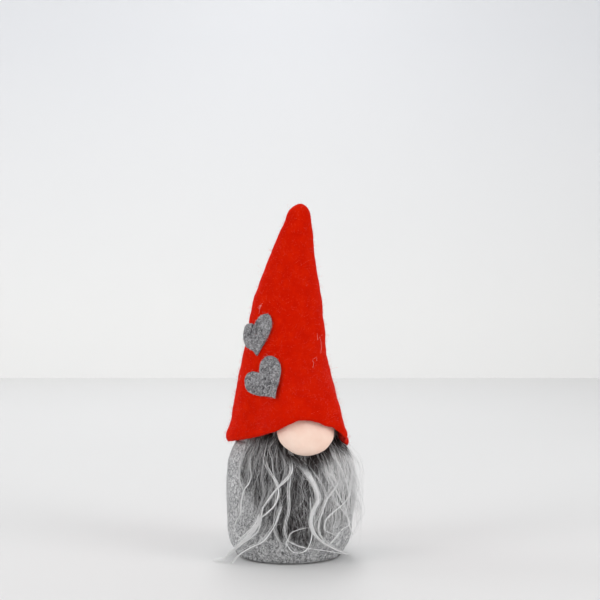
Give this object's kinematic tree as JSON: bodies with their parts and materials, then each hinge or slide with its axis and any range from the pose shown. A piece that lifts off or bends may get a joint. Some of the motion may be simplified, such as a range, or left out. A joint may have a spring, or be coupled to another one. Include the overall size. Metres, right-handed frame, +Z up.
{
  "type": "felt gnome figurine",
  "caption": "Free-standing stuffed felt gnome with a tall leaning red cone hat over its eyes, a ball nose, a long grey faux-fur beard and grey felt hearts on the hat",
  "frame": {"origin": "middle of the flat base, on the surface the figure stands on", "axes": "+Z is up along the body, -Y is the front where the nose is, +X is to the viewer's right seen from the front"},
  "size_m": [0.081, 0.0809, 0.2],
  "materials": {
    "card": "plain uncoated card",
    "grey_felt": "mottled wool-mix felt, matt and slightly fuzzy",
    "heart_felt": "thick mottled grey felt with cut edges",
    "red_felt": "bright red felt, matt with a fine pale fuzz",
    "beard_hair": "long soft faux fur, dark at the roots, grey to white at the ends",
    "knit_backing": "fine knitted backing",
    "jersey": "fine peach cotton jersey, matt",
    "cotton": "plain woven cotton",
    "pellets": "loose plastic granules",
    "fibre": "loose polyester fibre",
    "grey_thread": "twisted sewing thread",
    "red_thread": "twisted sewing thread",
    "glue": "set hot-melt glue, slightly cloudy"
  },
  "bodies": {
    "root": {"base_board": "card", "base_felt": "grey_felt", "body_cover": "grey_felt", "body_seam_thread": "grey_thread", "base_seam_thread": "grey_thread", "weight_bag": "cotton", "weight_pellets": "pellets", "body_stuffing": "fibre", "body_gather_thread": "grey_thread", "beard_backing": "knit_backing", "beard_glue": "glue", "beard_pile": "beard_hair", "beard_wisps": "beard_hair", "nose_cover": "jersey", "nose_filling": "fibre", "nose_tie_thread": "grey_thread", "nose_glue": "glue", "hat_cover": "red_felt", "hat_seam_thread": "red_thread", "hat_stuffing": "fibre", "hat_glue": "glue", "heart_upper": "heart_felt", "heart_lower": "heart_felt", "heart_upper_stitches": "grey_thread", "heart_lower_stitches": "grey_thread"}
  },
  "joints": []
}
